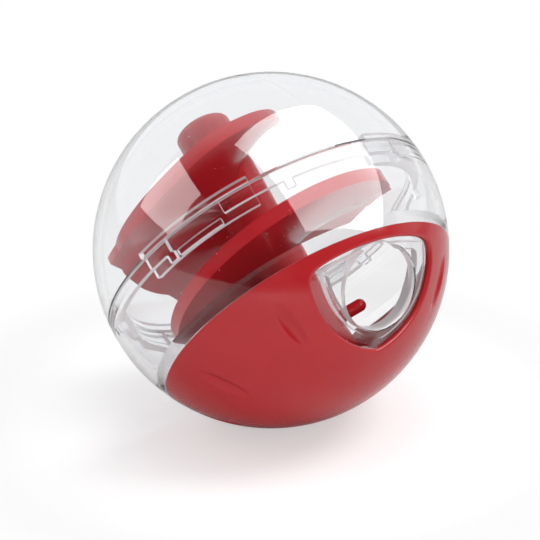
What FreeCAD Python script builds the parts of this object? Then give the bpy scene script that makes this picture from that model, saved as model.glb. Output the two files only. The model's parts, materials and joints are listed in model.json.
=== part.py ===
import FreeCAD, Part
import math
import os

from FreeCAD import Placement, Rotation, Vector

# Treat ball: two clear half shells, a red cover over the lower one and a red
# spiral chute inside that leads treats down to a round outlet.
# All lengths are millimetres. The ball is built upright about its own axis:
# +Z runs to the clear pole, +X to the side of the outlet. It is laid down last.

# Ball and shells
BALL_RADIUS = 40.0
SHELL_WALL = 2.0
PARTING_Z = 1.4
PARTING_GAP = 0.1
RIM_CHAMFER = 0.25

# Red cover on the lower shell
COVER_WALL = 1.55
COVER_FIT = 0.05
COVER_RIM_POLAR_DEG = 63.6
COVER_RIM_RADIUS = 0.35
SHOULDER_RISE = 3.3
SHOULDER_DROP = 1.7
SNAP_BEAD_RADIUS = 0.45
SNAP_BEAD_BELOW_RIM = 2.2
SNAP_BEAD_GAP_DEG = 45.0
SNAP_FIT = 0.08

# Outlet, the clear shield around it and the window in the cover
OUTLET_RADIUS = 9.5
OUTLET_POLAR_DEG = 45.0
OUTLET_FLARE = 0.4
WINDOW_TOP = 10.0
WINDOW_TOP_ARC = 35.6
WINDOW_HALF_WIDTH = 16.5
WINDOW_WIDEST = 6.2
WINDOW_SIDE_ARC = 21.4
WINDOW_CORNER_RADIUS = 1.4
WINDOW_TIP_RADIUS = 5.0
SHIELD_SIDE_GAP = 2.7
SHIELD_TOP_GAP = 1.0
SHIELD_CORNER_RADIUS = 0.8
SHIELD_TIP_RADIUS = 3.0

# Grip dimples in the cover
DIMPLE_PLACES = 8
DIMPLE_POLAR_DEG = 46.5
DIMPLE_LENGTH = 12.0
DIMPLE_WIDTH = 3.6
DIMPLE_HOLLOW = 0.25

# Bayonet between the shells
COLLAR_WALL = 1.0
COLLAR_TOP_Z = 1.9
COLLAR_BOTTOM_Z = -1.2
COLLAR_FIT = 0.25
TONGUE_COUNT = 4
TONGUE_FIRST_DEG = -54.5
TONGUE_WIDTH_DEG = 45.0
TONGUE_WALL = 1.2
TONGUE_LEDGE = 1.4
BAYONET_CLEARANCE = 0.3
HOOK_WIDTH_DEG = 18.0
HOOK_HEIGHT = 1.4
HOOK_REACH = 1.1
NOTCH_SIDE_DEG = 2.0
TWIST_DEG = 22.5
STOP_WIDTH_DEG = 3.0
STOP_CLEARANCE_DEG = 1.0
STOP_HEIGHT = 2.0
NOTCH_OVERCUT = 1.0

# Column of the spiral chute, in two stacked hubs
BOSS_TOP_Z = 33.4
BOSS_RADIUS = 6.74
BOSS_EDGE_RADIUS = 1.8
BOSS_WALL = 2.0
HUB_SPLIT_Z = 2.1
HUB_SPLIT_RADIUS = 6.4
HUB_FOOT_RADIUS = 6.2
HUB_BORE_RADIUS = 4.7
HUB_SPIGOT_LENGTH = 4.5
HUB_SPIGOT_BORE_RADIUS = 3.4
HUB_SPIGOT_FIT = 0.05

# Socket in the lower shell that the column's round foot stands in
FOOT_SEAT_GAP = 0.1
SOCKET_FLOOR_THICKNESS = 1.6
SOCKET_WALL = 1.5
SOCKET_HEIGHT = 3.8
SOCKET_FIT = 0.08

# Peg on the column, beside the outlet
PEG_RADIUS = 1.45
PEG_Z = -21.8
PEG_REACH = 12.4

# Spiral chute: it starts at CHUTE_START_DEG and winds down clockwise
CHUTE_START_DEG = 52.0
CHUTE_TOP_Z = 25.3
CHUTE_PITCH = 22.24
CHUTE_PITCH_LOWER = 19.54
CHUTE_FLOOR = 1.5
CHUTE_WALL = 1.4
CHUTE_LIP = 0.3
CHUTE_WALL_HEIGHT = 1.9
CHUTE_WALL_HEIGHT_LOWER = 2.5
CHUTE_WALL_RISE_DEG = 120.0
CHUTE_WALL_FADE_DEG = 165.0
CHUTE_START_RADIUS = 16.2
CHUTE_RADIUS = 31.6
CHUTE_OPENING_DEG = 90.0
CHUTE_NARROWING_DEG = 330.0
CHUTE_SPLIT_INSET = 1.2
CHUTE_END_INSET = 4.0
CHUTE_SPLIT_DEG = 360.0
CHUTE_END_DEG = 630.0
CHUTE_JOINT_GAP_DEG = 0.5
CHUTE_STEP_DEG = 15.0
CHUTE_ROOT_DEPTH = 0.9
HUB_CLEARANCE = 0.05

# Centring ears on the rim of the upper turn
EAR_COUNT = 4
EAR_FIRST_DEG = 164.0
EAR_SPACING_DEG = 57.2
EAR_HALF_WIDTH_DEG = 12.0
EAR_GAP = 1.0

# How the ball lies: its axis leans back and the outlet faces the front
AXIS_TILT_DEG = 50.9

CENTRE = Vector(0, 0, 0)
UP = Vector(0, 0, 1)
TOLERANCE = 1e-6

shell_inner = BALL_RADIUS - SHELL_WALL
recess_outer = BALL_RADIUS - COVER_WALL - COVER_FIT
recess_inner = recess_outer - SHELL_WALL
cover_rim_z = -BALL_RADIUS * math.cos(math.radians(COVER_RIM_POLAR_DEG))
lid_rim_z = PARTING_Z + PARTING_GAP
collar_outer = math.sqrt(shell_inner**2 - COLLAR_TOP_Z**2) - COLLAR_FIT
collar_inner = collar_outer - COLLAR_WALL
tongue_outer = collar_inner - BAYONET_CLEARANCE
tongue_inner = tongue_outer - TONGUE_WALL
tongue_shelf_z = COLLAR_TOP_Z + BAYONET_CLEARANCE
tongue_top_z = tongue_shelf_z + TONGUE_LEDGE
hook_top_z = COLLAR_BOTTOM_Z - BAYONET_CLEARANCE
hook_bottom_z = hook_top_z - HOOK_HEIGHT
socket_inner = HUB_FOOT_RADIUS + SOCKET_FIT
socket_outer = socket_inner + SOCKET_WALL
socket_floor_z = -recess_inner + SOCKET_FLOOR_THICKNESS
socket_top_z = socket_floor_z + SOCKET_HEIGHT
foot_z = socket_floor_z + FOOT_SEAT_GAP
chute_split_radius = CHUTE_RADIUS - CHUTE_SPLIT_INSET
chute_end_radius = CHUTE_RADIUS - CHUTE_END_INSET


def polar(radius, degrees, z=0.0):
    """Point at a distance from the axis, an angle from +X and a height."""
    angle = math.radians(degrees)
    return Vector(radius * math.cos(angle), radius * math.sin(angle), z)


def on_sphere(radius, z):
    """Point of a sphere about the centre, in the XZ plane at a height."""
    return Vector(math.sqrt(radius**2 - z**2), 0, z)


def sphere_arc(radius, start, end):
    """Arc of a sphere's meridian between two points of the XZ plane."""
    middle = (start + end).normalize() * radius
    return Part.Arc(start, middle, end).toShape()


def line(start, end):
    return Part.makeLine(start, end)


def revolve(edges):
    """Solid of revolution about the ball's axis from edges in the XZ plane."""
    face = Part.Face(Part.Wire(Part.__sortEdges__(edges)))
    return face.revolve(CENTRE, UP, 360)


def ring(inner, outer, low, high):
    """Plain ring about the axis."""
    height = high - low
    body = Part.makeCylinder(outer, height, Vector(0, 0, low))
    return body.cut(Part.makeCylinder(inner, height, Vector(0, 0, low)))


def ring_sector(inner, outer, low, high, middle_deg, width_deg):
    """Part of a ring about the axis, centred on an angle."""
    corners = [
        Vector(inner, 0, low),
        Vector(outer, 0, low),
        Vector(outer, 0, high),
        Vector(inner, 0, high),
        Vector(inner, 0, low),
    ]
    sector = Part.Face(Part.makePolygon(corners)).revolve(CENTRE, UP, width_deg)
    sector.rotate(CENTRE, UP, middle_deg - width_deg / 2)
    return sector


def shield_prism(top_inset, side_inset, corner_radius, tip_radius):
    """Shield-shaped prism about +Z: where one top disc and two side discs overlap."""
    top_arc = WINDOW_TOP_ARC - top_inset
    side_arc = WINDOW_SIDE_ARC - side_inset
    side_x = WINDOW_SIDE_ARC - WINDOW_HALF_WIDTH
    top_y = WINDOW_TOP - WINDOW_TOP_ARC
    prism = Part.makeCylinder(top_arc, BALL_RADIUS, Vector(0, top_y, 0))
    prism = prism.common(Part.makeCylinder(side_arc, BALL_RADIUS, Vector(side_x, WINDOW_WIDEST, 0)))
    prism = prism.common(Part.makeCylinder(side_arc, BALL_RADIUS, Vector(-side_x, WINDOW_WIDEST, 0)))
    corners = [e for e in upright_edges(prism) if e.BoundBox.Center.y > 0]
    prism = prism.makeFillet(corner_radius, corners)
    tips = [e for e in upright_edges(prism) if e.BoundBox.Center.y < -WINDOW_TOP / 2]
    return prism.makeFillet(tip_radius, tips)


def upright_edges(prism):
    """Straight edges of a prism where two different walls meet at an angle."""
    found = []
    for edge in prism.Edges:
        walls = prism.ancestorsOfType(edge, Part.Face)
        if edge.BoundBox.ZLength > BALL_RADIUS - 1 and len(walls) == 2:
            middle = edge.valueAt((edge.FirstParameter + edge.LastParameter) / 2)
            normals = [wall.normalAt(*wall.Surface.parameter(middle)) for wall in walls]
            if normals[0].getAngle(normals[1]) > math.radians(5):
                found.append(edge)
    return found


def to_outlet(shape):
    """Turn a shape that points along +Z so that it points out of the outlet."""
    shape.rotate(CENTRE, UP, 90)
    shape.rotate(CENTRE, Vector(0, 1, 0), 180 - OUTLET_POLAR_DEG)
    return shape


def outlet_bore():
    """Bore of the outlet, with a rounded mouth at the ball's surface."""
    lip = OUTLET_RADIUS + OUTLET_FLARE
    mouth_z = math.sqrt(BALL_RADIUS**2 - lip**2)
    round_low = Vector(OUTLET_RADIUS, 0, mouth_z - OUTLET_FLARE)
    round_middle = Vector(
        lip - OUTLET_FLARE * math.cos(math.radians(45)),
        0,
        mouth_z - OUTLET_FLARE * (1 - math.sin(math.radians(45))),
    )
    round_high = Vector(lip, 0, mouth_z)
    above = BALL_RADIUS + OUTLET_FLARE
    return to_outlet(
        revolve(
            [
                line(CENTRE, Vector(OUTLET_RADIUS, 0, 0)),
                line(Vector(OUTLET_RADIUS, 0, 0), round_low),
                Part.Arc(round_low, round_middle, round_high).toShape(),
                line(round_high, Vector(lip, 0, above)),
                line(Vector(lip, 0, above), Vector(0, 0, above)),
                line(Vector(0, 0, above), CENTRE),
            ]
        )
    )


def lower_shell_body():
    """Clear lower half, stepped in where the cover lies on it."""
    pole_out = Vector(0, 0, -recess_outer)
    pole_in = Vector(0, 0, -recess_inner)
    seat_in = on_sphere(recess_outer, cover_rim_z)
    seat_out = on_sphere(BALL_RADIUS, cover_rim_z)
    rim_low = on_sphere(BALL_RADIUS, PARTING_Z - RIM_CHAMFER)
    rim_out = Vector(rim_low.x - RIM_CHAMFER, 0, PARTING_Z)
    collar_low_out = Vector(collar_outer, 0, PARTING_Z)
    collar_top_out = Vector(collar_outer, 0, COLLAR_TOP_Z)
    collar_top_in = Vector(collar_inner, 0, COLLAR_TOP_Z)
    collar_low_in = Vector(collar_inner, 0, COLLAR_BOTTOM_Z)
    wall_top = on_sphere(shell_inner, COLLAR_BOTTOM_Z)
    step_top = on_sphere(shell_inner, cover_rim_z + SHOULDER_RISE)
    step_low = on_sphere(recess_inner, cover_rim_z - SHOULDER_DROP)
    return revolve(
        [
            sphere_arc(recess_outer, pole_out, seat_in),
            line(seat_in, seat_out),
            sphere_arc(BALL_RADIUS, seat_out, rim_low),
            line(rim_low, rim_out),
            line(rim_out, collar_low_out),
            line(collar_low_out, collar_top_out),
            line(collar_top_out, collar_top_in),
            line(collar_top_in, collar_low_in),
            line(collar_low_in, wall_top),
            sphere_arc(shell_inner, wall_top, step_top),
            line(step_top, step_low),
            sphere_arc(recess_inner, step_low, pole_in),
            line(pole_in, pole_out),
        ]
    )


def snap_bead(radius):
    """Bead of round section that snaps the cover on, open at the window's side."""
    middle = on_sphere(recess_outer, cover_rim_z - SNAP_BEAD_BELOW_RIM)
    sweep = 360 - 2 * SNAP_BEAD_GAP_DEG
    bead = Part.makeTorus(middle.x, radius, Vector(0, 0, middle.z), UP, 0, 360, sweep)
    bead.rotate(CENTRE, UP, SNAP_BEAD_GAP_DEG)
    return bead


def shield():
    """Clear shield that fills the cover's window, and the hollow behind it."""
    block = shield_prism(SHIELD_TOP_GAP, SHIELD_SIDE_GAP, SHIELD_CORNER_RADIUS, SHIELD_TIP_RADIUS)
    block = to_outlet(block).common(Part.makeSphere(BALL_RADIUS))
    block = block.cut(Part.makeSphere(recess_inner + SHELL_WALL / 2))
    hollow = shield_prism(
        SHIELD_TOP_GAP + SHELL_WALL,
        SHIELD_SIDE_GAP + SHELL_WALL,
        SHIELD_CORNER_RADIUS,
        SHIELD_TIP_RADIUS,
    )
    return block, to_outlet(hollow).common(Part.makeSphere(shell_inner))


def foot_socket():
    """Socket for the column's foot, on a flat floor at the pole."""
    floor = Part.makeCylinder(socket_outer, SOCKET_FLOOR_THICKNESS + SHELL_WALL / 2)
    floor.translate(Vector(0, 0, -recess_inner - SHELL_WALL / 2))
    wall = ring(socket_inner, socket_outer, socket_floor_z, socket_top_z)
    return floor.fuse(wall).common(Part.makeSphere(recess_inner + SHELL_WALL / 2))


def lower_shell():
    body = lower_shell_body()
    block, hollow = shield()
    body = body.fuse([block, foot_socket(), snap_bead(SNAP_BEAD_RADIUS)])
    body = body.cut(hollow).cut(outlet_bore())
    for index in range(TONGUE_COUNT):
        middle = TONGUE_FIRST_DEG + index * 360 / TONGUE_COUNT
        notch_width = HOOK_WIDTH_DEG + 2 * NOTCH_SIDE_DEG
        notch_depth = collar_outer + COLLAR_FIT
        notch_low = COLLAR_BOTTOM_Z - NOTCH_OVERCUT
        notch_high = COLLAR_TOP_Z + NOTCH_OVERCUT
        notch = ring_sector(
            tongue_inner, notch_depth, notch_low, notch_high, middle, notch_width
        )
        body = body.cut(notch)
        reach = HOOK_WIDTH_DEG / 2 + STOP_CLEARANCE_DEG + STOP_WIDTH_DEG / 2
        for stop_deg in (middle - reach, middle + TWIST_DEG + reach):
            low = COLLAR_BOTTOM_Z - STOP_HEIGHT
            stop_outer = shell_inner + SHELL_WALL / 2
            stop = ring_sector(
                collar_inner, stop_outer, low, COLLAR_BOTTOM_Z, stop_deg, STOP_WIDTH_DEG
            )
            body = body.fuse(stop)
    return body.removeSplitter()


def upper_shell():
    """Clear upper half with its bayonet tongues."""
    pole_out = Vector(0, 0, BALL_RADIUS)
    pole_in = Vector(0, 0, shell_inner)
    rim_high = on_sphere(BALL_RADIUS, lid_rim_z + RIM_CHAMFER)
    rim_out = Vector(rim_high.x - RIM_CHAMFER, 0, lid_rim_z)
    rim_in = on_sphere(shell_inner, lid_rim_z)
    body = revolve(
        [
            sphere_arc(BALL_RADIUS, pole_out, rim_high),
            line(rim_high, rim_out),
            line(rim_out, rim_in),
            sphere_arc(shell_inner, rim_in, pole_in),
            line(pole_in, pole_out),
        ]
    )
    inside = Part.makeSphere(shell_inner + SHELL_WALL / 2)
    pieces = []
    for index in range(TONGUE_COUNT):
        middle = TONGUE_FIRST_DEG + index * 360 / TONGUE_COUNT
        pieces.append(
            ring_sector(
                tongue_inner, tongue_outer, hook_bottom_z, tongue_top_z, middle, TONGUE_WIDTH_DEG
            )
        )
        pieces.append(
            ring_sector(
                tongue_inner, BALL_RADIUS, tongue_shelf_z, tongue_top_z, middle, TONGUE_WIDTH_DEG
            )
        )
        pieces.append(
            ring_sector(
                tongue_inner,
                tongue_outer + HOOK_REACH,
                hook_bottom_z,
                hook_top_z,
                middle,
                HOOK_WIDTH_DEG,
            )
        )
    pieces = [piece.common(inside) for piece in pieces]
    return body.fuse(pieces).removeSplitter()


def dimple():
    """Spindle-shaped cutter that leaves an almond dimple along a meridian."""
    half_length = DIMPLE_LENGTH / 2
    depth = BALL_RADIUS - math.sqrt(BALL_RADIUS**2 - half_length**2) + DIMPLE_HOLLOW
    girth = ((DIMPLE_WIDTH / 2) ** 2 + depth**2) / (2 * depth)
    bow = (half_length**2 + DIMPLE_HOLLOW**2) / (2 * DIMPLE_HOLLOW)
    reach = math.sqrt(bow**2 - (bow - girth) ** 2)
    tips = (Vector(-reach, 0, 0), Vector(reach, 0, 0))
    arc = Part.Arc(tips[0], Vector(0, 0, -girth), tips[1]).toShape()
    face = Part.Face(Part.Wire([arc, line(tips[1], tips[0])]))
    cutter = face.revolve(CENTRE, Vector(1, 0, 0), 360)
    cutter.translate(Vector(0, 0, BALL_RADIUS + girth - depth))
    cutter.rotate(CENTRE, Vector(0, 1, 0), 180 - DIMPLE_POLAR_DEG)
    return cutter


def base_cover():
    """Red cover of the lower half, with its window and grip dimples."""
    inner = recess_outer + COVER_FIT
    pole_out = Vector(0, 0, -BALL_RADIUS)
    pole_in = Vector(0, 0, -inner)
    rim_z = cover_rim_z - COVER_FIT
    rim_in = on_sphere(inner, rim_z)
    rim_out = on_sphere(BALL_RADIUS, rim_z)
    body = revolve(
        [
            sphere_arc(BALL_RADIUS, pole_out, rim_out),
            line(rim_out, rim_in),
            sphere_arc(inner, rim_in, pole_in),
            line(pole_in, pole_out),
        ]
    )
    rim_edges = [
        e
        for e in body.Edges
        if abs(e.BoundBox.ZMin - rim_z) < TOLERANCE and e.BoundBox.XMax > rim_out.x - COVER_FIT
    ]
    body = body.makeFillet(COVER_RIM_RADIUS, rim_edges)
    window = to_outlet(shield_prism(0, 0, WINDOW_CORNER_RADIUS, WINDOW_TIP_RADIUS))
    body = body.cut(window).cut(snap_bead(SNAP_BEAD_RADIUS + SNAP_FIT))
    for index in range(1, DIMPLE_PLACES):
        cutter = dimple()
        cutter.rotate(CENTRE, UP, index * 360 / DIMPLE_PLACES)
        body = body.cut(cutter)
    return body


def smooth(share):
    """Rise from 0 to 1 that starts and ends level."""
    share = min(max(share, 0.0), 1.0)
    return share * share * (3 - 2 * share)


def chute_radius(wound_deg):
    """Outer radius of the chute after it has wound so far from its start."""
    if wound_deg < CHUTE_OPENING_DEG:
        angle = math.radians(90 * wound_deg / CHUTE_OPENING_DEG)
        share = (math.sin(angle) ** 2 + 1 - math.cos(angle)) / 2
        return CHUTE_START_RADIUS + (CHUTE_RADIUS - CHUTE_START_RADIUS) * share
    if wound_deg < CHUTE_NARROWING_DEG:
        return CHUTE_RADIUS
    if wound_deg < CHUTE_SPLIT_DEG:
        share = (wound_deg - CHUTE_NARROWING_DEG) / (CHUTE_SPLIT_DEG - CHUTE_NARROWING_DEG)
        return CHUTE_RADIUS - CHUTE_SPLIT_INSET * smooth(share)
    share = (wound_deg - CHUTE_SPLIT_DEG) / (CHUTE_END_DEG - CHUTE_SPLIT_DEG)
    return chute_split_radius + (chute_end_radius - chute_split_radius) * share


def chute_top(wound_deg):
    """Height of the top of the chute's outer wall."""
    upper = min(wound_deg, CHUTE_SPLIT_DEG) / 360
    lower = max(wound_deg - CHUTE_SPLIT_DEG, 0) / 360
    return CHUTE_TOP_Z - CHUTE_PITCH * upper - CHUTE_PITCH_LOWER * lower


def chute_wall_height(wound_deg):
    """Height of the outer wall above the chute's floor; on the far side it is a mere lip."""
    if wound_deg >= CHUTE_SPLIT_DEG:
        return CHUTE_WALL_HEIGHT_LOWER
    rise = smooth(wound_deg / CHUTE_WALL_RISE_DEG)
    fade = smooth((wound_deg - CHUTE_WALL_RISE_DEG) / (CHUTE_WALL_FADE_DEG - CHUTE_WALL_RISE_DEG))
    return CHUTE_LIP + (CHUTE_WALL_HEIGHT - CHUTE_LIP) * rise * (1 - fade)


def chute_section(wound_deg, root_radius):
    """Section of the chute: a floor from the hub and a low wall at its rim."""
    outer = chute_radius(wound_deg)
    top = chute_top(wound_deg)
    floor_top = top - chute_wall_height(wound_deg)
    floor_low = floor_top - CHUTE_FLOOR
    corners = [
        (root_radius, floor_low),
        (outer, floor_low),
        (outer, top),
        (outer - CHUTE_WALL, top),
        (outer - CHUTE_WALL, floor_top),
        (root_radius, floor_top),
    ]
    angle = CHUTE_START_DEG - wound_deg
    points = [polar(radius, angle, z) for radius, z in corners]
    return Part.makePolygon(points + points[:1])


def chute(start_deg, end_deg, root_radius):
    """One turn of the chute, lofted through its sections."""
    steps = round((end_deg - start_deg) / CHUTE_STEP_DEG)
    stations = [start_deg + (end_deg - start_deg) * i / steps for i in range(steps + 1)]
    return Part.makeLoft([chute_section(s, root_radius) for s in stations], True, False)


def ear(wound_deg):
    """Blunt corner on the chute's rim that centres it in the upper shell."""
    top = chute_top(wound_deg)
    height = chute_wall_height(wound_deg) + CHUTE_FLOOR
    reach = math.sqrt((shell_inner - EAR_GAP) ** 2 - top**2)
    reach = min(reach, tongue_inner - EAR_GAP)
    angle = CHUTE_START_DEG - wound_deg
    base = CHUTE_RADIUS - CHUTE_WALL / 2
    slope = CHUTE_PITCH * EAR_HALF_WIDTH_DEG / 360
    low = top - height
    points = [
        polar(base, angle - EAR_HALF_WIDTH_DEG, low - slope),
        polar(reach, angle, low),
        polar(base, angle + EAR_HALF_WIDTH_DEG, low + slope),
    ]
    face = Part.Face(Part.makePolygon(points + points[:1]))
    return face.extrude(Vector(0, 0, height))


def hub(low_z, low_radius, high_z, high_radius, bore_radius):
    """Tapered tube of the column."""
    height = high_z - low_z
    body = Part.makeCone(low_radius, high_radius, height, Vector(0, 0, low_z))
    return body.cut(Part.makeCylinder(bore_radius, height, Vector(0, 0, low_z)))


def upper_chute():
    """Upper moulding of the spiral: closed hub and first turn."""
    height = BOSS_TOP_Z - HUB_SPLIT_Z
    body = Part.makeCone(HUB_SPLIT_RADIUS, BOSS_RADIUS, height, Vector(0, 0, HUB_SPLIT_Z))
    rim = [e for e in body.Edges if abs(e.BoundBox.ZMin - BOSS_TOP_Z) < TOLERANCE]
    body = body.makeFillet(BOSS_EDGE_RADIUS, rim)
    body = body.cut(Part.makeCylinder(HUB_BORE_RADIUS, height - BOSS_WALL, Vector(0, 0, HUB_SPLIT_Z)))
    turn = chute(0, CHUTE_SPLIT_DEG - CHUTE_JOINT_GAP_DEG, HUB_SPLIT_RADIUS - CHUTE_ROOT_DEPTH)
    below = Part.makeCylinder(
        HUB_SPLIT_RADIUS + HUB_CLEARANCE, BALL_RADIUS, Vector(0, 0, HUB_SPLIT_Z - BALL_RADIUS)
    )
    ears = [ear(EAR_FIRST_DEG + index * EAR_SPACING_DEG) for index in range(EAR_COUNT)]
    return body.fuse([turn.cut(below)] + ears)


def peg():
    """Round-ended peg that stands out of the column beside the outlet."""
    length = PEG_REACH - PEG_RADIUS
    rod = Part.makeCylinder(PEG_RADIUS, length - HUB_BORE_RADIUS, Vector(0, 0, HUB_BORE_RADIUS))
    rod = rod.fuse(Part.makeSphere(PEG_RADIUS, Vector(0, 0, length)))
    rod = rod.removeSplitter()
    rod.rotate(CENTRE, Vector(0, 1, 0), 90)
    rod.rotate(CENTRE, UP, CHUTE_START_DEG)
    rod.translate(Vector(0, 0, PEG_Z))
    bore = Part.makeCylinder(HUB_BORE_RADIUS, BALL_RADIUS, Vector(0, 0, PEG_Z - BALL_RADIUS / 2))
    return rod.cut(bore)


def lower_chute():
    """Lower moulding of the spiral: second turn, peg and round foot."""
    body = hub(foot_z, HUB_FOOT_RADIUS, HUB_SPLIT_Z, HUB_SPLIT_RADIUS, HUB_BORE_RADIUS)
    spigot_radius = HUB_BORE_RADIUS - HUB_SPIGOT_FIT
    spigot_low = HUB_SPLIT_Z - HUB_SPIGOT_LENGTH
    spigot_high = HUB_SPLIT_Z + HUB_SPIGOT_LENGTH
    spigot = ring(HUB_SPIGOT_BORE_RADIUS, spigot_radius, spigot_low, spigot_high)
    collar = ring(HUB_SPIGOT_BORE_RADIUS, HUB_BORE_RADIUS, spigot_low, HUB_SPLIT_Z)
    turn = chute(CHUTE_SPLIT_DEG, CHUTE_END_DEG, HUB_FOOT_RADIUS - CHUTE_ROOT_DEPTH)
    above = Part.makeCylinder(BOSS_RADIUS + HUB_CLEARANCE, BALL_RADIUS, Vector(0, 0, HUB_SPLIT_Z))
    return body.fuse([collar, spigot, turn.cut(above), peg()]).removeSplitter()


def lay_down(shape):
    """Lay the upright ball on the ground, outlet to the front (-Y)."""
    turn = Rotation(UP, -90)
    lean = Rotation(Vector(1, 0, 0), -AXIS_TILT_DEG)
    laid = shape.copy()
    laid.Placement = Placement(Vector(0, 0, BALL_RADIUS), lean.multiply(turn))
    return laid


PIECES = {
    "upper_shell": upper_shell,
    "lower_shell": lower_shell,
    "base_cover": base_cover,
    "upper_chute": upper_chute,
    "lower_chute": lower_chute,
}

os.makedirs("parts", exist_ok=True)
for name, build in PIECES.items():
    solid = lay_down(build())
    print(name, len(solid.Solids), round(solid.Volume, 1), solid.isValid())
    solid.exportStep(f"parts/{name}.step")
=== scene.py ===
import json
import math

import bmesh
import bpy
import numpy as np
from mathutils import Matrix, Vector

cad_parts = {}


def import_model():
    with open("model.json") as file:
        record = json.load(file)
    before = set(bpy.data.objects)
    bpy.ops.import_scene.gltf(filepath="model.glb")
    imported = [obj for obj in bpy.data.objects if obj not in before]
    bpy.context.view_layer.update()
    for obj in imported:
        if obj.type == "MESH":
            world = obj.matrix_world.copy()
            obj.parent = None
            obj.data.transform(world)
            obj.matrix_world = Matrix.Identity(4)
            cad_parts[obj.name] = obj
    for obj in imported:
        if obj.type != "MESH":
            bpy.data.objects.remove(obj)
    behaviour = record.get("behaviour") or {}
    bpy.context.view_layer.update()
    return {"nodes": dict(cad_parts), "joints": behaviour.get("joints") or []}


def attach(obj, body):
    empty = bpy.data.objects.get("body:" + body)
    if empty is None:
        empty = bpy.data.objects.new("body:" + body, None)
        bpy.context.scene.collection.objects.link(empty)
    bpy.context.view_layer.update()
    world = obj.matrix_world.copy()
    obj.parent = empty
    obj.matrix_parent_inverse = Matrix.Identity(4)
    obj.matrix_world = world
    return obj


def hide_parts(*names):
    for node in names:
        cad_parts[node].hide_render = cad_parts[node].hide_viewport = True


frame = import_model()

MM = 0.001

# The ball's own frame: AXIS runs to the clear pole, FRONT to the outlet's side
BALL_RADIUS = 40.0
CENTRE = Vector((0, 0, BALL_RADIUS * MM))
AXIS = Vector(next(joint["axis"] for joint in frame["joints"] if joint["name"] == "lid_twist"))
SIDE = Vector((1, 0, 0))
FRONT = SIDE.cross(AXIS)
TO_WORLD = np.array([FRONT, SIDE, AXIS])

# How near the axis a vertex of a shell counts as its pole's (mm)
POLE_REACH = 0.01

# Red cover: the frame's, with a rounded edge of the window and slightly hollower dimples (mm)
COVER_INNER = 38.45
COVER_RIM_POLAR = math.radians(63.6)
COVER_FIT = 0.05
COVER_RIM_Z = -BALL_RADIUS * math.cos(COVER_RIM_POLAR) - COVER_FIT
RIM_ROUND = 0.35
WINDOW_ROUND = 0.9
OUTLET_POLAR = math.radians(45.0)
WINDOW_TOP = 10.0
WINDOW_TOP_ARC = 35.6
WINDOW_HALF_WIDTH = 16.5
WINDOW_WIDEST = 6.2
WINDOW_SIDE_ARC = 21.4
CORNER_CUT = 1.0
TIP_CUT = 0.14
DIMPLE_PLACES = 8
DIMPLE_POLAR = math.radians(46.5)
DIMPLE_LENGTH = 12.0
DIMPLE_WIDTH = 3.6
DIMPLE_HOLLOW = 0.4
DIMPLE_SOFTNESS = 0.06

# Chute as it is in the frame: where it starts and how far each moulding sinks in a turn (degrees, mm)
CHUTE_START_DEG = 52.0
CHUTE_TOP_Z = 25.3
CHUTE_PITCH = 22.24
CHUTE_PITCH_LOWER = 19.54

# How far the photograph's chute lies above the frame's (mm), by the angle wound from its start (degrees)
CHUTE_LIFTS = (
    (0, 2.2),
    (50, 0.1),
    (100, -2.2),
    (120, -2.4),
    (140, -1.8),
    (164, -0.1),
    (214, -1.2),
    (262, 0.0),
    (311, 1.2),
    (335, 0.1),
    (385, -1.2),
    (560, -1.2),
    (610, 0.0),
)
LIFT_SOFTNESS_DEG = 12.0
LIFT_SAMPLES = 9

# Where the lift fades: radii in the hub's wall, and distances along the axis from the chute's sheet (mm)
HUB_WALL = (4.9, 6.1)
SHEET_REACH = (3.0, 5.5)

# Boss on the hub: its reach, how far its top rises, and the heights between which the rise grows (mm)
BOSS_REACH = 6.84
BOSS_RISE = 1.7
BOSS_RISE_HEIGHTS = (26.0, 31.4)

# Fineness of the cover's mesh
COVER_SPOKES = 640
COVER_RINGS = 150
INNER_RINGS = 24
ROUND_STEPS = 6

# Moulded plastic: index of refraction, and the span of a noise in which one patch turns into the next
PLASTIC_IOR = 1.49
PATCH_SPAN = (0.3, 0.7)

# Red plastic: fineness of its flow marks, gloss and orange peel (per metre), and the peel's depth (m)
FLOW_SCALE = 90
GLOSS_SCALE = 420
PEEL_SCALE = 500
PEEL_DEPTH = 0.00001
PEEL_STRENGTH = 0.1

# Clear plastic: its two tints, the tint of the light that the lamps send through, and specks of dust
TINT_DEEP = (0.925, 0.93, 0.94)
TINT_LIGHT = (0.94, 0.945, 0.952)
TINT_PASSING = (0.96, 0.96, 0.965)
TINT_SCALE = 60
DUST_SCALE = 1500
DUST_SPAN = (0.74, 0.82)
DUST_ROUGHNESS = 0.35

# Faces cut across the clear walls are duller: the span is of cosines to the ball's outward direction
CUT_SPAN = (0.35, 0.8)
CUT_ROUGHNESS = 0.3
CUT_CLARITY = 0.5

# Camera of the photograph: distance in metres, lens in millimetres, shifts in pixels
CAMERA_AZIMUTH = math.radians(-37.2)
CAMERA_ELEVATION = math.radians(22.0)
CAMERA_DISTANCE = 0.6
CAMERA_NEAR = 0.01
CAMERA_LENS = 178.0
IMAGE_SIZE = 540
SHIFT_X_PX = -1
SHIFT_Y_PX = -20

# Lamps of the photograph as seen from the ball (degrees, metres): two softboxes and plain square lamps
LAMP_DISTANCE = 0.5
PANEL_GAP = 0.005
PLAIN_LAMP_SIZE = 0.22
SOFTBOX_LEFT = {"azimuth": -122.9, "elevation": 30.7, "roll": 2.9, "width": 0.3, "height": 0.25}
SOFTBOX_TOP = {"azimuth": 42.1, "elevation": 62.3, "roll": -37.2, "width": 0.625, "height": 0.831}

# Room of the photograph: pale, and in reflections bright on one side and dim on the photographer's
ROOM_COLOUR = (0.97, 0.98, 1.0)
BRIGHT_AZIMUTH = math.radians(143)
BRIGHT_ELEVATION = math.radians(-15)
BRIGHT_SPAN = (-0.25, 0.2)

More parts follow.
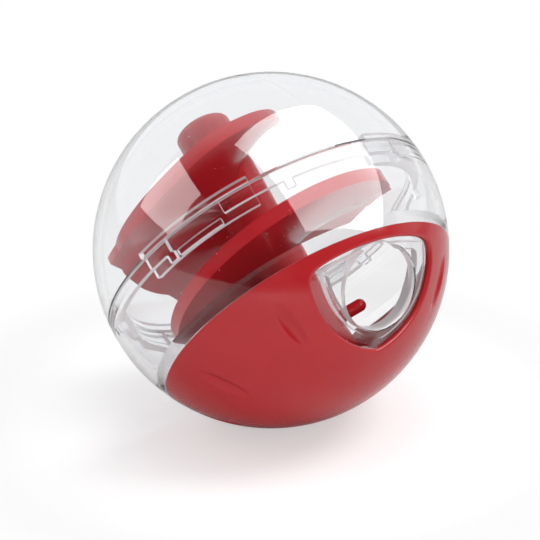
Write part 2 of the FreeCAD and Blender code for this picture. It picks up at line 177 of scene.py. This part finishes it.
# Floor: its shade where seen and where it only gives light, the painted glow that lifts its shadow near
# the ball, and sizes (m)
FLOOR_HALF = 6.0
FLOOR_ROUGHNESS = 0.9
FLOOR_SEEN = 0.65
FLOOR_UNSEEN = 0.93
FLOOR_PAINTED_GLOW = 0.45
SHADOW_REACH = (0.03, 0.09)


def to_world(points):
    """World positions in metres of points in the ball's own frame in millimetres."""
    return np.asarray(points) @ TO_WORLD * MM + np.array(CENTRE)


def soft_min(first, second, cut):
    """Lesser of two lengths, less by the cut where both are equal."""
    sharpness = math.log(2) / cut
    return -np.logaddexp(-sharpness * first, -sharpness * second) / sharpness


def reach_in_disc(angles, centre_x, centre_y, radius):
    """Distance from the window's centre to a disc's edge in each direction."""
    along = centre_x * np.cos(angles) + centre_y * np.sin(angles)
    return along + np.sqrt(radius**2 - centre_x**2 - centre_y**2 + along**2)


def window_outline(angles, outset):
    """Shield outline about the window's centre: a top disc and two side discs."""
    side_x = WINDOW_SIDE_ARC - WINDOW_HALF_WIDTH
    top = reach_in_disc(angles, 0, WINDOW_TOP - WINDOW_TOP_ARC, WINDOW_TOP_ARC + outset)
    left = reach_in_disc(angles, side_x, WINDOW_WIDEST, WINDOW_SIDE_ARC + outset)
    right = reach_in_disc(angles, -side_x, WINDOW_WIDEST, WINDOW_SIDE_ARC + outset)
    reach = soft_min(soft_min(left, right, TIP_CUT), top, CORNER_CUT)
    return np.stack([reach * np.cos(angles), reach * np.sin(angles)], axis=1)


def lift_from_window(outline, radius):
    """Points of a sphere that lie over an outline in the window's plane."""
    sine, cosine = math.sin(OUTLET_POLAR), math.cos(OUTLET_POLAR)
    out = np.array([sine, 0, -cosine])
    up = np.array([cosine, 0, sine])
    side = np.array([0, 1, 0])
    height = np.sqrt(radius**2 - (outline**2).sum(axis=1))
    return outline[:, :1] * side + outline[:, 1:] * up + height[:, None] * out


def flatten(points):
    """Stereographic map from the clear pole."""
    unit = points / np.linalg.norm(points, axis=1)[:, None]
    return unit[:, :2] / (1 - unit[:, 2:])


def unflatten(flat, radius):
    """Points of a sphere from their stereographic map."""
    square = (flat**2).sum(axis=1)[:, None]
    return radius * np.hstack([2 * flat, square - 1]) / (square + 1)


def to_rim(flat, radius):
    """Where lines from the window's centre through flat points meet the cover's rim."""
    rim = flatten(np.array([[math.sqrt(radius**2 - COVER_RIM_Z**2), 0, COVER_RIM_Z]]))[0, 0]
    centre = np.array([math.tan(OUTLET_POLAR / 2), 0])
    ray = flat - centre
    ray /= np.linalg.norm(ray, axis=1)[:, None]
    along = ray @ centre
    reach = -along + np.sqrt(along**2 - centre @ centre + rim**2)
    return centre + reach[:, None] * ray


def dent(points):
    """Press the grip dimples into points of the cover's outer face."""
    half = DIMPLE_LENGTH / 2
    depth = BALL_RADIUS - math.sqrt(BALL_RADIUS**2 - half**2) + DIMPLE_HOLLOW
    girth = ((DIMPLE_WIDTH / 2) ** 2 + depth**2) / (2 * depth)
    bow = (half**2 + DIMPLE_HOLLOW**2) / (2 * DIMPLE_HOLLOW)
    for index in range(1, DIMPLE_PLACES):
        turn = index * 2 * math.pi / DIMPLE_PLACES
        outward = np.array([math.cos(turn), math.sin(turn), 0])
        down = np.array([0, 0, -1])
        out = math.sin(DIMPLE_POLAR) * outward + math.cos(DIMPLE_POLAR) * down
        along = math.cos(DIMPLE_POLAR) * outward - math.sin(DIMPLE_POLAR) * down
        across = np.cross(out, along)
        height, run, side = points @ out, points @ along, points @ across
        spindle = np.sqrt(np.maximum(bow**2 - run**2, 0)) - (bow - girth)
        near = (height > 0) & (spindle > np.abs(side))
        floor = np.where(
            near,
            BALL_RADIUS + girth - depth - np.sqrt(np.maximum(spindle**2 - side**2, 0)),
            2 * BALL_RADIUS,
        )
        lowered = soft_min(height, floor, DIMPLE_SOFTNESS)
        points = points + np.where(near, lowered - height, 0)[:, None] * out
    return points


def cover_rings():
    """Closed loops of points round the cover's wall, from the window to the rim and back."""
    angles = np.linspace(0, 2 * math.pi, COVER_SPOKES, endpoint=False)
    rings = []
    for step in range(ROUND_STEPS + 1):
        turn = math.pi / 2 * step / ROUND_STEPS
        outline = window_outline(angles, WINDOW_ROUND * (1 - math.cos(turn)))
        depth = WINDOW_ROUND * (1 - math.sin(turn))
        rings.append(lift_from_window(outline, BALL_RADIUS - depth))
    start = flatten(rings[-1])
    end = to_rim(start, BALL_RADIUS)
    inset = RIM_ROUND / BALL_RADIUS
    for step in range(1, COVER_RINGS):
        share = (1 - inset) * step / (COVER_RINGS - 1)
        rings.append(dent(unflatten(start + (end - start) * share, BALL_RADIUS)))
    corner = unflatten(end, BALL_RADIUS)
    inner_window = lift_from_window(window_outline(angles, 0), COVER_INNER)
    inner_end = to_rim(flatten(inner_window), COVER_INNER)
    inner_corner = unflatten(inner_end, COVER_INNER)
    last = rings[-1]
    landed = corner + (inner_corner - corner) * RIM_ROUND / (BALL_RADIUS - COVER_INNER)
    for step in range(1, ROUND_STEPS + 1):
        share = step / ROUND_STEPS
        rings.append((1 - share) ** 2 * last + 2 * share * (1 - share) * corner + share**2 * landed)
    for step in range(INNER_RINGS + 1):
        share = step / INNER_RINGS
        flat = inner_end + (flatten(inner_window) - inner_end) * share
        rings.append(unflatten(flat, COVER_INNER))
    return rings


def mesh_of_rings(name, rings):
    """Mesh whose faces join each loop of points to the next, and the last to the first."""
    count = len(rings[0])
    first = np.arange(count)
    after = np.roll(first, -1)
    faces = []
    for index in range(len(rings)):
        low = index * count
        high = (index + 1) % len(rings) * count
        faces.append(np.stack([low + first, low + after, high + after, high + first], axis=1))
    mesh = bpy.data.meshes.new(name)
    mesh.from_pydata(to_world(np.vstack(rings)).tolist(), [], np.vstack(faces).tolist())
    mesh.shade_smooth()
    piece = bpy.data.objects.new(name, mesh)
    bpy.context.scene.collection.objects.link(piece)
    return piece


def smooth_step(values, low, high):
    """0 below low, 1 above high, smooth between."""
    share = np.clip((values - low) / (high - low), 0, 1)
    return share * share * (3 - 2 * share)


def chute_lift(wound):
    """How far the chute lies above the frame's at each angle wound from its start."""
    stations, lifts = zip(*CHUTE_LIFTS)
    offsets = np.linspace(-LIFT_SOFTNESS_DEG, LIFT_SOFTNESS_DEG, LIFT_SAMPLES)
    return np.mean([np.interp(wound + offset, stations, lifts) for offset in offsets], axis=0)


def copy_of(node, body):
    """Piece that stands for a node of the frame, with a mesh of its own."""
    piece = bpy.data.objects.new(node + "_moulding", frame["nodes"][node].data.copy())
    bpy.context.scene.collection.objects.link(piece)
    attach(piece, body)
    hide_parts(node)
    return piece


def even_pole(node, body):
    """Copy of a shell whose poles shade evenly: the frame's mesh has a pinched face in each."""
    piece = copy_of(node, body)
    mesh = piece.data
    detail = bmesh.new()
    detail.from_mesh(mesh)
    reach = POLE_REACH * MM
    doubled = [vertex for vertex in detail.verts if (vertex.co - CENTRE).cross(AXIS).length < reach]
    bmesh.ops.remove_doubles(detail, verts=doubled, dist=reach)
    detail.to_mesh(mesh)
    detail.free()
    normals = [corner.vector.copy() for corner in mesh.corner_normals]
    for loop in mesh.loops:
        place = mesh.vertices[loop.vertex_index].co - CENTRE
        if place.cross(AXIS).length < reach:
            outward = place.normalized()
            normals[loop.index] = outward if normals[loop.index].dot(outward) > 0 else -outward
    mesh.normals_split_custom_set(normals)
    return piece


def reshaped_chute(node):
    """Copy of a chute whose turns and boss lie where the photograph shows them."""
    piece = copy_of(node, "chute_insert")
    mesh = piece.data
    flat = np.empty(3 * len(mesh.vertices))
    mesh.vertices.foreach_get("co", flat)
    x, y, z = ((flat.reshape(-1, 3) - np.array(CENTRE)) @ TO_WORLD.T / MM).T
    radius = np.hypot(x, y)
    split_z = CHUTE_TOP_Z - CHUTE_PITCH
    wound = np.where(
        z > split_z,
        (CHUTE_TOP_Z - z) * 360 / CHUTE_PITCH,
        360 + (split_z - z) * 360 / CHUTE_PITCH_LOWER,
    )
    turned = CHUTE_START_DEG - np.degrees(np.arctan2(y, x))
    sheet = turned + 360 * np.round((wound - turned) / 360)
    apart = np.abs(wound - sheet) * CHUTE_PITCH / 360
    weight = smooth_step(radius, *HUB_WALL) * (1 - smooth_step(apart, *SHEET_REACH))
    boss = smooth_step(z, *BOSS_RISE_HEIGHTS) * (radius < BOSS_REACH)
    z = z + chute_lift(sheet) * weight * (1 - boss) + BOSS_RISE * boss
    mesh.vertices.foreach_set("co", to_world(np.stack([x, y, z], axis=1)).ravel())
    mesh.update()
    return piece


class Shader:
    """A node material with one Principled shader."""

    def __init__(self, name):
        self.material = bpy.data.materials.new(name)
        self.material.use_nodes = True
        self.tree = self.material.node_tree
        self.surface = self.tree.nodes["Principled BSDF"]
        coordinates = self.node("ShaderNodeTexCoord")
        self.place = coordinates.outputs["Object"]
        self.normal = coordinates.outputs["Normal"]

    def node(self, kind, **settings):
        made = self.tree.nodes.new(kind)
        for key, value in settings.items():
            setattr(made, key, value)
        return made

    def link(self, source, target):
        self.tree.links.new(source, target)

    def noise(self, scale, detail=2.0, roughness=0.5):
        made = self.node("ShaderNodeTexNoise")
        made.inputs["Scale"].default_value = scale
        made.inputs["Detail"].default_value = detail
        made.inputs["Roughness"].default_value = roughness
        self.link(self.place, made.inputs["Vector"])
        return made.outputs["Fac"]

    def ramp(self, factor, low, high, from_low=0.0, from_high=1.0):
        """Colours between low and high as a factor goes from one value to another."""
        made = self.node("ShaderNodeValToRGB")
        made.color_ramp.elements[0].position = from_low
        made.color_ramp.elements[1].position = from_high
        made.color_ramp.elements[0].color = (*low, 1)
        made.color_ramp.elements[1].color = (*high, 1)
        self.link(factor, made.inputs["Fac"])
        return made.outputs["Color"]

    def range(self, value, low, high, from_low=0.0, from_high=1.0):
        made = self.node("ShaderNodeMapRange")
        made.inputs["From Min"].default_value = from_low
        made.inputs["From Max"].default_value = from_high
        made.inputs["To Min"].default_value = low
        made.inputs["To Max"].default_value = high
        self.link(value, made.inputs["Value"])
        return made.outputs["Result"]

    def math(self, operation, first, second=None):
        made = self.node("ShaderNodeMath", operation=operation)
        for value, target in ((first, made.inputs[0]), (second, made.inputs[1])):
            if isinstance(value, float):
                target.default_value = value
            elif value is not None:
                self.link(value, target)
        return made.outputs["Value"]

    def cut_faces(self):
        """0 on the ball's polished round faces, 1 on the walls that stand across them."""
        offset = self.node("ShaderNodeVectorMath", operation="SUBTRACT")
        offset.inputs[1].default_value = CENTRE
        self.link(self.place, offset.inputs[0])
        outward = self.node("ShaderNodeVectorMath", operation="NORMALIZE")
        self.link(offset.outputs["Vector"], outward.inputs[0])
        facing = self.node("ShaderNodeVectorMath", operation="DOT_PRODUCT")
        self.link(outward.outputs["Vector"], facing.inputs[0])
        self.link(self.normal, facing.inputs[1])
        return self.range(self.math("ABSOLUTE", facing.outputs["Value"]), 1.0, 0.0, *CUT_SPAN)

    def bump(self, height, distance, strength=1.0):
        made = self.node("ShaderNodeBump")
        made.inputs["Strength"].default_value = strength
        made.inputs["Distance"].default_value = distance
        self.link(height, made.inputs["Height"])
        self.link(made.outputs["Normal"], self.surface.inputs["Normal"])


def red_plastic(name, deep, light, roughness, shine):
    """Glossy red moulded plastic with faint flow marks and a fine orange peel."""
    shader = Shader(name)
    colour = shader.ramp(shader.noise(FLOW_SCALE, detail=3), deep, light, *PATCH_SPAN)
    shader.link(colour, shader.surface.inputs["Base Color"])
    patches = shader.noise(GLOSS_SCALE, detail=4, roughness=0.6)
    rough = shader.range(patches, *roughness, *PATCH_SPAN)
    shader.link(rough, shader.surface.inputs["Roughness"])
    shader.bump(shader.noise(PEEL_SCALE), PEEL_DEPTH, PEEL_STRENGTH)
    shader.surface.inputs["IOR"].default_value = PLASTIC_IOR
    shader.surface.inputs["Specular IOR Level"].default_value = shine
    return shader.material


def clear_plastic():
    """Polished clear plastic with specks of dust; the lamps' light passes it unbent."""
    shader = Shader("clear_plastic")
    tint = shader.ramp(shader.noise(TINT_SCALE), TINT_DEEP, TINT_LIGHT)
    shader.link(tint, shader.surface.inputs["Base Color"])
    specks = shader.range(shader.noise(DUST_SCALE, detail=1), 0.0, DUST_ROUGHNESS, *DUST_SPAN)
    cut = shader.cut_faces()
    rough = shader.math("MAXIMUM", specks, shader.math("MULTIPLY", cut, CUT_ROUGHNESS))
    shader.link(rough, shader.surface.inputs["Roughness"])
    clear = shader.range(cut, 1.0, CUT_CLARITY)
    shader.link(clear, shader.surface.inputs["Transmission Weight"])
    shader.surface.inputs["IOR"].default_value = PLASTIC_IOR
    passing = shader.node("ShaderNodeBsdfTransparent")
    passing.inputs["Color"].default_value = (*TINT_PASSING, 1)
    path = shader.node("ShaderNodeLightPath")
    lighting = shader.math("MAXIMUM", path.outputs["Is Shadow Ray"], path.outputs["Is Diffuse Ray"])
    mix = shader.node("ShaderNodeMixShader")
    shader.link(lighting, mix.inputs["Fac"])
    shader.link(shader.surface.outputs["BSDF"], mix.inputs[1])
    shader.link(passing.outputs["BSDF"], mix.inputs[2])
    shader.link(mix.outputs["Shader"], shader.tree.nodes["Material Output"].inputs["Surface"])
    return shader.material


def dress(piece, material):
    """Give a piece its one material."""
    piece.data.materials.clear()
    piece.data.materials.append(material)


def direction(azimuth, elevation):
    """Unit vector from the ball towards an azimuth (0 is the front) and elevation."""
    return Vector(
        (
            math.sin(azimuth) * math.cos(elevation),
            -math.cos(azimuth) * math.cos(elevation),
            math.sin(elevation),
        )
    )


def aim(obj, towards, distance, roll=0.0):
    """Put an object at a distance in a direction, facing the ball."""
    facing = (-towards).to_track_quat("-Z", "Y").to_matrix()
    obj.location = CENTRE + towards * distance
    obj.rotation_euler = (facing @ Matrix.Rotation(roll, 3, "Z")).to_euler()


def lamp(name, distance, radiance, azimuth, elevation, width, height, roll=0.0):
    """Rectangular lamp that faces the ball."""
    light = bpy.data.lights.new(name, "AREA")
    light.shape = "RECTANGLE"
    light.size = width
    light.size_y = height
    light.energy = 4 * width * height * radiance
    made = bpy.data.objects.new(name, light)
    bpy.context.scene.collection.objects.link(made)
    towards = direction(math.radians(azimuth), math.radians(elevation))
    aim(made, towards, distance, math.radians(roll))
    return made


def softbox(name, lit, mirrored, **shape):
    """Softbox with one radiance for what it lights and another in reflections."""
    key = lamp(name, LAMP_DISTANCE, lit, **shape)
    key.visible_glossy = False
    panel = lamp(name + "_panel", LAMP_DISTANCE - PANEL_GAP, mirrored, **shape)
    panel.visible_diffuse = False
    panel.visible_transmission = False


def plain_lamp(name, radiance, azimuth, elevation):
    """Square lamp that is seen neither in reflections nor through the clear walls."""
    made = lamp(name, LAMP_DISTANCE, radiance, azimuth, elevation, PLAIN_LAMP_SIZE, PLAIN_LAMP_SIZE)
    made.visible_glossy = False
    made.visible_transmission = False


def light_path(tree, *rays):
    """What the light path says of a kind of ray, or the greatest of several."""
    path = tree.nodes.new("ShaderNodeLightPath")
    total = path.outputs[rays[0]]
    for ray in rays[1:]:
        add = tree.nodes.new("ShaderNodeMath")
        add.operation = "MAXIMUM"
        tree.links.new(total, add.inputs[0])
        tree.links.new(path.outputs[ray], add.inputs[1])
        total = add.outputs[0]
    return total


def mapped(tree, value, low, high, from_low=0.0, from_high=1.0):
    """A value brought from one span to another, smoothly at both ends."""
    made = tree.nodes.new("ShaderNodeMapRange")
    made.interpolation_type = "SMOOTHSTEP"
    made.inputs["From Min"].default_value = from_low
    made.inputs["From Max"].default_value = from_high
    for name, level in (("To Min", low), ("To Max", high)):
        if isinstance(level, float):
            made.inputs[name].default_value = level
        else:
            tree.links.new(level, made.inputs[name])
    tree.links.new(value, made.inputs["Value"])
    return made.outputs["Result"]


def world(seen, through, lit, mirrored):
    """Pale room, dim where the photographer stands: one strength for each kind of ray."""
    made = bpy.data.worlds.new("room")
    made.use_nodes = True
    tree = made.node_tree
    place = tree.nodes.new("ShaderNodeTexCoord")
    side = tree.nodes.new("ShaderNodeVectorMath")
    side.operation = "DOT_PRODUCT"
    side.inputs[1].default_value = direction(BRIGHT_AZIMUTH, BRIGHT_ELEVATION)
    tree.links.new(place.outputs["Generated"], side.inputs[0])
    room = mapped(tree, side.outputs["Value"], *mirrored, *BRIGHT_SPAN)
    level = mapped(tree, light_path(tree, "Is Transmission Ray"), lit, through)
    level = mapped(tree, light_path(tree, "Is Camera Ray"), level, seen)
    level = mapped(tree, light_path(tree, "Glossy Depth"), level, room)
    back = tree.nodes["Background"]
    back.inputs["Color"].default_value = (*ROOM_COLOUR, 1)
    tree.links.new(level, back.inputs["Strength"])
    bpy.context.scene.world = made


def floor():
    """White floor: it keeps the shadow, lightened near the ball by a painted glow, and far off it turns
    into plain white.
    """
    mesh = bpy.data.meshes.new("floor")
    corners = [(x * FLOOR_HALF, y * FLOOR_HALF, 0) for x, y in ((-1, -1), (1, -1), (1, 1), (-1, 1))]
    mesh.from_pydata(corners, [], [(0, 1, 2, 3)])
    plane = bpy.data.objects.new("floor", mesh)
    bpy.context.scene.collection.objects.link(plane)
    material = bpy.data.materials.new("floor_paper")
    material.use_nodes = True
    tree = material.node_tree
    surface = tree.nodes["Principled BSDF"]
    surface.inputs["Roughness"].default_value = FLOOR_ROUGHNESS
    surface.inputs["Specular IOR Level"].default_value = 0.0
    glow = tree.nodes.new("ShaderNodeEmission")
    glow.inputs["Color"].default_value = (1, 1, 1, 1)
    place = tree.nodes.new("ShaderNodeTexCoord")
    far = tree.nodes.new("ShaderNodeVectorMath")
    far.operation = "LENGTH"
    tree.links.new(place.outputs["Object"], far.inputs[0])
    seen = light_path(tree, "Is Camera Ray", "Is Transmission Ray")
    tree.links.new(mapped(tree, seen, FLOOR_UNSEEN, FLOOR_SEEN), surface.inputs["Base Color"])
    near = mapped(tree, far.outputs["Value"], 1.0, 0.0, *SHADOW_REACH)
    keeps_shadow = mapped(tree, seen, 1.0, near)
    mix = tree.nodes.new("ShaderNodeMixShader")
    tree.links.new(keeps_shadow, mix.inputs["Fac"])
    tree.links.new(glow.outputs[0], mix.inputs[1])
    tree.links.new(surface.outputs[0], mix.inputs[2])
    # Painted light: a glow, seen only near the ball, that lifts the floor and its shadow towards white
    fill = tree.nodes.new("ShaderNodeEmission")
    painted_glow_near = mapped(tree, near, 0.0, FLOOR_PAINTED_GLOW)
    tree.links.new(mapped(tree, seen, 0.0, painted_glow_near), fill.inputs["Strength"])
    both = tree.nodes.new("ShaderNodeAddShader")
    tree.links.new(mix.outputs[0], both.inputs[0])
    tree.links.new(fill.outputs[0], both.inputs[1])
    tree.links.new(both.outputs[0], tree.nodes["Material Output"].inputs["Surface"])
    mesh.materials.append(material)


def camera():
    """Camera where the photograph's stood."""
    data = bpy.data.cameras.new("camera")
    data.lens = CAMERA_LENS
    data.clip_start = CAMERA_NEAR
    data.shift_x = SHIFT_X_PX / IMAGE_SIZE
    data.shift_y = SHIFT_Y_PX / IMAGE_SIZE
    made = bpy.data.objects.new("camera", data)
    bpy.context.scene.collection.objects.link(made)
    aim(made, direction(CAMERA_AZIMUTH, CAMERA_ELEVATION), CAMERA_DISTANCE)
    bpy.context.scene.camera = made


# Materials
cover_red = red_plastic(
    "red_cover_plastic",
    deep=(0.39, 0.014, 0.018),
    light=(0.41, 0.016, 0.020),
    roughness=(0.12, 0.16),
    shine=0.45,
)
# The chute's red is lighter than the cover's: painted light that makes up for the shade inside the ball
chute_red_lightened = red_plastic(
    "red_chute_plastic",
    deep=(0.49, 0.015, 0.021),
    light=(0.52, 0.017, 0.024),
    roughness=(0.14, 0.18),
    shine=0.4,
)
clear = clear_plastic()

# Pieces: the cover is made anew, and the others are copies of the frame's meshes
cover = mesh_of_rings("cover_moulding", cover_rings())
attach(cover, "lower_half")
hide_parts("base_cover")
dress(cover, cover_red)
for node in ("upper_chute", "lower_chute"):
    dress(reshaped_chute(node), chute_red_lightened)
dress(even_pole("upper_shell", "upper_half"), clear)
dress(even_pole("lower_shell", "lower_half"), clear)

# Set of the photograph
camera()
floor()
world(seen=1.03, through=1.0, lit=0.54, mirrored=(0.02, 1.0))
softbox("softbox_left", lit=0.5, mirrored=5.0, **SOFTBOX_LEFT)
softbox("softbox_top", lit=0.12, mirrored=6.0, **SOFTBOX_TOP)
plain_lamp("key_right", radiance=5.5, azimuth=50, elevation=50)
plain_lamp("fill_front", radiance=3.8, azimuth=-37, elevation=14)
bpy.context.scene.view_settings.view_transform = "Standard"
